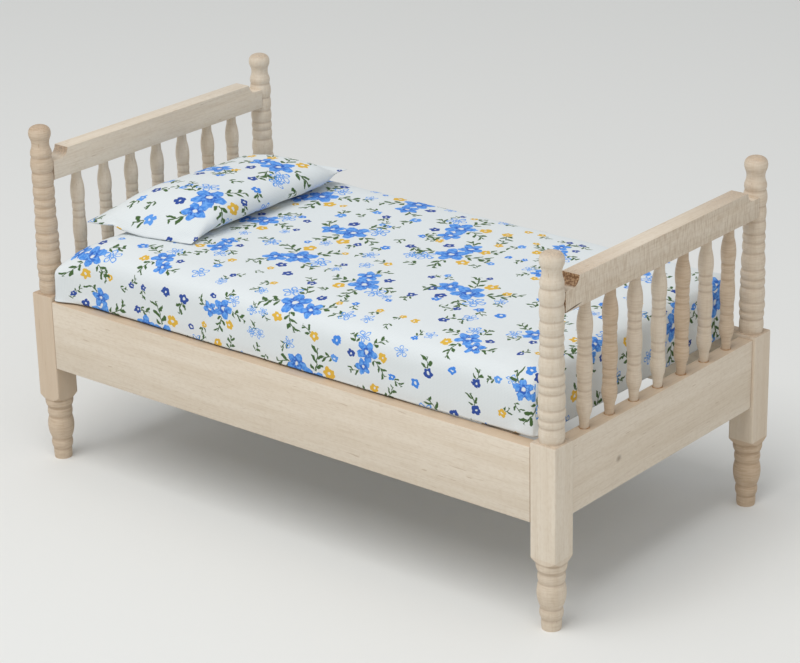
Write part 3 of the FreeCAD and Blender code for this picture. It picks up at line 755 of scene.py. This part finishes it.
def scatter_motifs(tree, place, spacing, looseness, radius, least):
    """Scatter motifs over the cloth, each turned at random and small enough for its room.
    Gives the place within a motif, the motif's centre, and two random numbers."""
    cells = cells_of(tree, place, spacing, looseness)
    centre = cells["Position"]
    room = cells_of(tree, centre, spacing, looseness, "DISTANCE_TO_EDGE")["Distance"]
    size = add_node(tree, "ShaderNodeClamp", {
        "Value": both(tree, room, spacing / radius),
        "Min": least, "Max": 1.1}).outputs["Result"]
    local = vector_math(tree, "SUBTRACT", place, centre)
    chance = add_node(tree, "ShaderNodeSeparateColor", {"Color": cells["Color"]})
    angle = both(tree, chance.outputs["Red"], math.tau)
    local = add_node(tree, "ShaderNodeVectorRotate", {
        "Vector": local, "Angle": angle}, rotation_type="Z_AXIS").outputs["Vector"]
    local = vector_math(tree, "DIVIDE", local, vector_of(tree, size, size, 1.0))
    return local, centre, chance.outputs["Green"], chance.outputs["Blue"]


def moved_to(tree, local, centre, angle=0.0, size=(1.0, 1.0)):
    """Axes of one element of a motif: its own middle, turn and size."""
    return add_node(tree, "ShaderNodeMapping", {
        "Vector": local, "Location": (*centre, 0.0), "Rotation": (0.0, 0.0, math.radians(angle)),
        "Scale": (*size, 1.0)}, vector_type="TEXTURE").outputs["Vector"]


def petals_of(tree, local, centre, radius, turn, petal):
    """Fold a flower onto one of its five petals, an oval. Gives how far out a point lies in
    the oval, 1 at its edge, and its distance from the flower's middle."""
    inside = moved_to(tree, local, centre, turn, (radius, radius))
    distance = length_of(tree, inside)
    axes = parts_of(tree, inside)
    angle = calculate(tree, "ARCTAN2", axes["Y"], axes["X"])
    step = math.tau / 5
    angle = calculate(tree, "FLOORED_MODULO", calculate(tree, "ADD", angle, step / 2), step)
    angle = calculate(tree, "SUBTRACT", angle, step / 2)
    folded = vector_of(tree, both(tree, distance, calculate(tree, "COSINE", angle)),
                       both(tree, distance, calculate(tree, "SINE", angle)))
    middle, length, width = petal
    oval = moved_to(tree, folded, (middle, 0.0), 0.0, (length, width))
    return length_of(tree, oval), distance


def paint_blossom(tree, ground, local, centre, radius, turn, mottling):
    """A blue blossom: five broad petals, deeper towards a white middle."""
    oval, distance = petals_of(tree, local, centre, radius, turn, (0.56, 0.46, 0.34))
    petals = blend_colours(tree, mottling, BLOSSOM_BLUE, BLOSSOM_LIGHT)
    rim = both(tree, spread(tree, oval, 0.72, 0.95), spread(tree, distance, 0.85, 0.6))
    throat = both(tree, within(tree, distance, 0.46, 0.3), spread(tree, mottling, 0.9, 0.3))
    petals = blend_colours(tree, calculate(tree, "MAXIMUM", rim, throat), petals, BLOSSOM_DEEP)
    petals = blend_colours(tree, within(tree, distance, 0.17, 0.08), petals, COTTON_WHITE)
    shape = calculate(tree, "MAXIMUM", within(tree, oval, 1.0), within(tree, distance, 0.3))
    return blend_colours(tree, shape, ground, petals)


def paint_outlined(tree, ground, local, centre, radius, turn, ink):
    """A flower of five petals drawn in outline, round a ring."""
    oval, distance = petals_of(tree, local, centre, radius, turn, (0.62, 0.38, 0.28))
    line = calculate(tree, "ABSOLUTE", calculate(tree, "SUBTRACT", oval, 0.82))
    ring = calculate(tree, "ABSOLUTE", calculate(tree, "SUBTRACT", distance, 0.17))
    drawn = calculate(tree, "MAXIMUM", within(tree, line, 0.2, 0.12), within(tree, ring, 0.07, 0.05))
    return blend_colours(tree, drawn, ground, ink)


def paint_small(tree, ground, local, centre, radius, turn, ink):
    """A small plain flower with a white eye."""
    oval, distance = petals_of(tree, local, centre, radius, turn, (0.55, 0.45, 0.42))
    petals = blend_colours(tree, within(tree, distance, 0.24), ink, COTTON_WHITE)
    return blend_colours(tree, within(tree, oval, 1.0, 0.15), ground, petals)


def paint_sprig(tree, ground, local, centre, angle, length, leaf_length, shown=None):
    """A bent stem with pointed leaves that leave it by turns on both sides."""
    axes = parts_of(tree, moved_to(tree, local, centre, angle))
    along = axes["X"]
    bend = both(tree, both(tree, along, along), 0.9 / length ** 2)
    across = calculate(tree, "SUBTRACT", axes["Y"], bend)
    side = calculate(tree, "SIGN", across)
    away = calculate(tree, "ABSOLUTE", across)
    on_stem = both(tree, spread(tree, along, -0.05, 0.05),
                   spread(tree, along, length + 0.05, length - 0.05))
    stem = both(tree, within(tree, away, 0.16, 0.08), on_stem)
    pitch = leaf_length * 1.15
    step = calculate(tree, "MULTIPLY_ADD", side, pitch / 4, along)
    step = calculate(tree, "FLOORED_MODULO", step, pitch)
    half = leaf_length / 2
    spot = moved_to(tree, vector_of(tree, step, away), (half * 0.85, half * 0.8), 44.0,
                    (half, half * 0.36))
    leaf = both(tree, within(tree, length_of(tree, spot), 1.0, 0.25), on_stem)
    green = calculate(tree, "MAXIMUM", stem, leaf)
    if shown is not None:
        green = both(tree, green, shown)
    return blend_colours(tree, green, ground, LEAF_GREEN)


def paint_scatter(tree, colour, place):
    """Single small flowers and sprigs, left out where a bouquet goes."""
    local, centre, kind, extra = scatter_motifs(
        tree, place, SCATTER_SPACING, SCATTER_LOOSENESS, SCATTER_RADIUS, least=0.66)
    nearest = cells_of(tree, centre, BOUQUET_SPACING, BOUQUET_LOOSENESS)["Distance"]
    free = calculate(tree, "GREATER_THAN", nearest, (BOUQUET_RADIUS - 0.5) / BOUQUET_SPACING)
    leafy = both(tree, free, calculate(tree, "GREATER_THAN", extra, 0.25))
    colour = paint_sprig(tree, colour, local, (0.5, 0.3), 20.0, 3.5, 2.2, leafy)
    ink = add_node(tree, "ShaderNodeValToRGB", {"Fac": kind})
    ramp = ink.color_ramp
    ramp.interpolation = "CONSTANT"
    ramp.elements[0].color = NAVY
    ramp.elements[1].position = 0.52
    ramp.elements[1].color = SKY
    ramp.elements.new(0.20).color = YELLOW
    ramp.elements.new(0.38).color = BLOSSOM_BLUE
    plain = both(tree, free, calculate(tree, "LESS_THAN", kind, PLAIN_SHARE))
    drawn = paint_small(tree, colour, local, (-0.7, -0.3), 1.5, 0.0, ink.outputs["Color"])
    colour = blend_colours(tree, plain, colour, drawn)
    lined = both(tree, free, calculate(tree, "GREATER_THAN", kind, PLAIN_SHARE))
    lined = both(tree, lined, calculate(tree, "LESS_THAN", kind, OUTLINED_UP_TO))
    drawn = paint_outlined(tree, colour, local, (-0.4, 0.0), 2.4, 0.0, SKY)
    return blend_colours(tree, lined, colour, drawn)


def paint_bouquets(tree, colour, place, mottling):
    """Bouquets of two blossoms, one outlined flower, two small ones and four sprigs."""
    local, _, kind, _ = scatter_motifs(
        tree, place, BOUQUET_SPACING, BOUQUET_LOOSENESS, BOUQUET_RADIUS, least=0.62)
    mirror = calculate(tree, "SIGN", calculate(tree, "SUBTRACT", kind, 0.5))
    local = vector_math(tree, "MULTIPLY", local, vector_of(tree, 1.0, mirror, 1.0))
    for spot, angle, length in (((2.6, -2.4), -38.0, 6.2), ((-3.2, 3.4), 150.0, 4.4),
                                ((6.2, 4.2), 70.0, 3.9), ((-3.0, -3.0), 228.0, 5.4)):
        colour = paint_sprig(tree, colour, local, spot, angle, length, 2.3)
    colour = paint_outlined(tree, colour, local, (-6.0, 0.9), 2.7, 10.0, SKY)
    colour = paint_blossom(tree, colour, local, (5.2, 2.4), 3.0, 25.0, mottling)
    colour = paint_blossom(tree, colour, local, (0.0, 0.0), 4.0, 0.0, mottling)
    colour = paint_small(tree, colour, local, (1.4, -6.0), 1.7, 0.0, YELLOW)
    return paint_small(tree, colour, local, (0.8, 6.2), 1.4, 30.0, NAVY)


def printed_cotton(name):
    """Plain-weave cotton, printed: matt, with a fine thread that shows as a faint grid."""
    material, tree = new_material(name)
    cloth = add_node(tree, "ShaderNodeUVMap", uv_map="cloth").outputs["UV"]
    shiver = noise_at(tree, cloth, 0.8, 1.0, "2D")["Color"]
    shift = vector_math(tree, "SUBTRACT", shiver, (0.5, 0.5, 0.5))
    place = vector_math(tree, "MULTIPLY_ADD", shift, (PRINT_WAVER, PRINT_WAVER, 0.0), cloth)
    mottling = spread(tree, noise_at(tree, cloth, 1.1, 2.0, "2D")["Fac"], 0.35, 0.65)
    colour = paint_scatter(tree, COTTON_WHITE, place)
    colour = paint_bouquets(tree, colour, place, mottling)
    thread = math.pi / THREAD_SPACING
    axes = parts_of(tree, cloth)
    warp = calculate(tree, "SINE", both(tree, axes["X"], thread))
    weft = calculate(tree, "SINE", both(tree, axes["Y"], thread))
    weave = calculate(tree, "MAXIMUM", both(tree, warp, warp), both(tree, weft, weft))
    shade = calculate(tree, "MULTIPLY_ADD", weave, -THREAD_SHADE, THREAD_SHADE)
    colour = blend_colours(tree, shade, colour, srgb("#8F989E"))
    bump = add_node(tree, "ShaderNodeBump", {
        "Strength": 0.3, "Distance": THREAD_RELIEF, "Height": weave})
    give_surface(tree, {
        "Base Color": colour, "Roughness": 0.92, "Specular IOR Level": 0.12,
        "Sheen Weight": 0.06, "Sheen Roughness": 0.5, "Normal": bump.outputs["Normal"]})
    return material


flowered_cotton = printed_cotton("flower_printed_cotton")
mattress_low, mattress_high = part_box("mattress_cover")
mattress_low.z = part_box("side_rail_near")[1].z + RAIL_GAP
mattress_low += LOW_SPARE
mattress_high += HIGH_SPARE
block_low = mattress_low + Vector((MATTRESS_ROOM, MATTRESS_ROOM, 0))
block_high = mattress_high - Vector((MATTRESS_ROOM, MATTRESS_ROOM, MATTRESS_ROOM))
padding = grid_block(block_low, block_high, MATTRESS_CELL, CORNER_CUTS)
unfold_print(padding, block_low, block_high)
round_block(padding, block_low, block_high, EDGE_ROUNDING, HEM_ROUNDING)
for vertex in padding.verts:
    place = vertex.co
    raised = (place.z - block_low.z) / (block_high.z - block_low.z)
    sunk = slump(place.x - block_low.x, *HEAD_SLUMP)
    sunk += slump(place.y - block_low.y, *NEAR_SLUMP)
    sunk += slump(block_high.y - place.y, *FAR_SLUMP)
    place.z -= sunk * raised
mattress = finish_piece(padding, "padded_mattress", [flowered_cotton], smooth_below=180)
relax_cloth(mattress, MATTRESS_PRESSURE, MATTRESS_SLACK, MATTRESS_ROOM,
            mattress_low.z + MATTRESS_HEM)
for vertex in mattress.data.vertices:
    place = vertex.co
    near = ease((-place.y - LEAN_FROM_Y) / LEAN_WIDTH)
    towards_foot = ease((place.x - LEAN_FROM_X) / LEAN_LENGTH)
    place.y += NEAR_LEAN * near * towards_foot
    ear = math.exp(-((place.x - mattress_low.x) / EAR_LENGTH) ** 2)
    ear *= math.exp(-((place.y - mattress_low.y) / EAR_WIDTH) ** 2)
    ear *= ease((EAR_TOP - place.z) / EAR_FADE)
    place.x -= EAR_OUT_X * ear
    place.y -= EAR_OUT_Y * ear
ruffle(mattress, *MATTRESS_DENTS)
add_subdivision(mattress)
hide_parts("mattress_cover", "mattress_core")
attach(mattress, "mattress")


# The pillow: a tube of the same cotton, filled with wadding and sewn flat across both
# ends. Its near end slopes to the seam, and its far end runs out in a flat hem.
CLOTH_AROUND = 64.0 * MM
CLOTH_LENGTH = 67.5 * MM
PILLOW_CELL = 1.1 * MM
NEAR_HEM, FAR_HEM = 1.2 * MM, 4.6 * MM
NEAR_SLOPE, FAR_SLOPE = 19.0 * MM, 10.5 * MM
NEAR_END_Y, FAR_END_Y = -28.0 * MM, 36.3 * MM
# In millimetres, the X of each seam's middle and half its width, and those of the body.
NEAR_SEAM, FAR_SEAM, BODY = (-60.4, 15.9), (-61.2, 15.0), (-58.7, 14.3)
SEAM_SLANT = 0.2
# The body's section: how far it rises and sinks from the level of its widest part, how much
# of the rise is lost towards the far end, and how square it is, at the seams and in the body.
PILLOW_RISE, PILLOW_SINK = 5.75 * MM, 2.9 * MM
RISE_LOSS = 0.18
SEAM_SQUARENESS, BODY_SQUARENESS = 1.7, 2.5
HEM_THICKNESS = 0.7 * MM
# Heights over the mattress: of the body's underside, and of the seams. The near one curls up
# by the headboard and droops in front, and the far one is nearly level. Places across the
# pillow go from -1 at its back edge to 1 at its front.
PILLOW_GAP = 0.1 * MM
NEAR_SEAM_HEIGHT, NEAR_SEAM_CURL, CURL_FROM = 0.9 * MM, 1.4 * MM, 0.15
NEAR_SEAM_DROOP, DROOP_FROM, DROOP_WIDTH = 0.8 * MM, -0.55, 0.4
FAR_SEAM_HEIGHT, FAR_SEAM_TILT = 2.7 * MM, 0.3 * MM
# Cloth nearer than this is sewn together.
SEWING_DISTANCE = 0.01 * MM
# How the case settles, in the same terms as the mattress's cover.
PILLOW_PRESSURE, PILLOW_SLACK = 3.0, 0.03
PILLOW_ROOM, PILLOW_UNDERSIDE = 0.6 * MM, 0.4 * MM
PILLOW_DENTS = (0.2 * MM, 6.0 * MM)
SECTION_FINENESS = 6


def cushion_section(half_width, rise, sink, squareness, count):
    """Even points round a cushion's section, from the back edge over the top."""
    fine = []
    steps = count * SECTION_FINENESS
    for step in range(steps + 1):
        turn = math.pi - math.tau * step / steps
        across = math.copysign(abs(math.cos(turn)) ** (2 / squareness), math.cos(turn))
        up = math.copysign(abs(math.sin(turn)) ** (2 / squareness), math.sin(turn))
        fine.append(Vector((half_width * across, (rise if up > 0 else sink) * up)))
    lengths = [0.0]
    for before, after in zip(fine, fine[1:]):
        lengths.append(lengths[-1] + (after - before).length)
    points = []
    index = 0
    for number in range(count):
        wanted = lengths[-1] * number / count
        while lengths[index + 1] < wanted:
            index += 1
        share = (wanted - lengths[index]) / max(1e-12, lengths[index + 1] - lengths[index])
        points.append(fine[index].lerp(fine[index + 1], share))
    return points


def fullness(distance, hem, slope):
    """How full the pillow is at a distance from an end: not at all over the hem, then more
    and more, up to 1 at the end of the slope."""
    return 1 - max(0.0, 1 - max(0.0, distance - hem) / slope) ** 2


def level_of(along, side, full, top_z):
    """Height of the widest part of the pillow's section, at a place across the pillow."""
    near_seam_z = top_z + NEAR_SEAM_HEIGHT + NEAR_SEAM_CURL * ease(CURL_FROM - side)
    far_seam_z = top_z + FAR_SEAM_HEIGHT + FAR_SEAM_TILT * side
    seam_z = near_seam_z + (far_seam_z - near_seam_z) * ease(along)
    body_z = top_z + PILLOW_GAP + PILLOW_SINK
    level = seam_z + (body_z - seam_z) * full
    if along == 0:
        level -= NEAR_SEAM_DROOP * ease((side - DROOP_FROM) / DROOP_WIDTH)
    return level


around = 2 * round(CLOTH_AROUND / PILLOW_CELL / 2)
rows = round(CLOTH_LENGTH / PILLOW_CELL)
bag = bmesh.new()
bmesh.ops.create_grid(bag, x_segments=around, y_segments=rows, size=0.5)
cloth_layer = bag.loops.layers.uv.new("cloth")
for face in bag.faces:
    for loop in face.loops:
        turned = (loop.vert.co.y * CLOTH_LENGTH / MM, -loop.vert.co.x * CLOTH_AROUND / MM)
        loop[cloth_layer].uv = turned
sections = {}
for vertex in bag.verts:
    column = round((vertex.co.x + 0.5) * around) % around
    row = round((vertex.co.y + 0.5) * rows)
    along = row / rows
    full = min(fullness(along * CLOTH_LENGTH, NEAR_HEM, NEAR_SLOPE),
               fullness((1 - along) * CLOTH_LENGTH, FAR_HEM, FAR_SLOPE))
    seam_x, seam_half_width = FAR_SEAM if along > 0.5 else NEAR_SEAM
    centre_x = (seam_x + (BODY[0] - seam_x) * full) * MM
    half_width = (seam_half_width + (BODY[1] - seam_half_width) * full) * MM
    if row not in sections:
        hem = 0.0 if row in (0, rows) else HEM_THICKNESS / 2
        rise = hem + PILLOW_RISE * (1 - RISE_LOSS * along) * full
        sink = hem + PILLOW_SINK * full
        squareness = SEAM_SQUARENESS + (BODY_SQUARENESS - SEAM_SQUARENESS) * full
        sections[row] = cushion_section(half_width, rise, sink, squareness, around)
    across, up = sections[row][column]
    y = NEAR_END_Y + (FAR_END_Y - NEAR_END_Y) * along + SEAM_SLANT * across
    level = level_of(along, across / half_width, full, mattress_high.z)
    vertex.co = (centre_x + across, y, level + up)
bmesh.ops.remove_doubles(bag, verts=bag.verts, dist=SEWING_DISTANCE)
bmesh.ops.recalc_face_normals(bag, faces=bag.faces)
pillow = finish_piece(bag, "stuffed_pillow", [flowered_cotton], smooth_below=180)
relax_cloth(pillow, PILLOW_PRESSURE, PILLOW_SLACK, PILLOW_ROOM,
            mattress_high.z + PILLOW_UNDERSIDE)
ruffle(pillow, *PILLOW_DENTS)
add_subdivision(pillow)
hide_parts("pillow_cover", "pillow_filling")
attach(pillow, "pillow")


# Studio: a plain pale floor, a soft main light from the front left, a weak one from the
# foot's side, and an even sky. The camera stands where the photograph was taken from, and
# its angles are azimuth, elevation and roll, in degrees.
CAMERA_ANGLES = (39.74, 21.49, -1.29)
CAMERA_DISTANCE = 0.6463
CAMERA_SLIDE = (0.00213, -0.00385)
CAMERA_TARGET = Vector((0, 0, 0.045))
LENS = 115.43
FLOOR_HALF_SIZE = 6.0
SKY_STRENGTH = 0.56

floor_mesh = bmesh.new()
bmesh.ops.create_grid(floor_mesh, x_segments=1, y_segments=1, size=FLOOR_HALF_SIZE)
floor_material, floor_tree = new_material("studio_floor")
give_surface(floor_tree, {
    "Base Color": srgb("#E9E9E6"), "Roughness": 0.9, "Specular IOR Level": 0.1})
floor = finish_piece(floor_mesh, "floor", [floor_material])
floor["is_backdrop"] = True


def add_softbox(name, direction, distance, size, watts):
    """A square area light that faces the bed from a distance."""
    light = bpy.data.lights.new(name, "AREA")
    light.size = size
    light.energy = watts
    lamp = bpy.data.objects.new(name, light)
    scene.collection.objects.link(lamp)
    lamp.location = Vector(direction).normalized() * distance
    lamp.rotation_mode = "QUATERNION"
    lamp.rotation_quaternion = Vector(direction).to_track_quat("Z", "Y")


add_softbox("main_softbox", (0.0, -0.72, 1.35), distance=1.2, size=0.9, watts=8.0)
add_softbox("side_softbox", (0.8, -0.2, 1.0), distance=1.3, size=0.9, watts=0.7)
world = bpy.data.worlds.new("studio_sky")
world.use_nodes = True
sky = world.node_tree.nodes["Background"].inputs
sky["Color"].default_value = srgb("#F4F6F8")
sky["Strength"].default_value = SKY_STRENGTH
scene.world = world
scene.view_settings.view_transform = "Standard"

azimuth, elevation, roll = [math.radians(angle) for angle in CAMERA_ANGLES]
back = Vector((math.sin(azimuth) * math.cos(elevation),
               -math.cos(azimuth) * math.cos(elevation), math.sin(elevation)))
level = Vector((math.cos(azimuth), math.sin(azimuth), 0))
upward = back.cross(level)
right = math.cos(roll) * level + math.sin(roll) * upward
top = math.cos(roll) * upward - math.sin(roll) * level
camera_data = bpy.data.cameras.new("camera")
camera_data.lens = LENS
camera = bpy.data.objects.new("camera", camera_data)
scene.collection.objects.link(camera)
turn = Matrix((right, top, back)).transposed().to_4x4()
place = CAMERA_TARGET + back * CAMERA_DISTANCE + right * CAMERA_SLIDE[0] + top * CAMERA_SLIDE[1]
camera.matrix_world = Matrix.Translation(place) @ turn
scene.camera = camera

low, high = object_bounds()
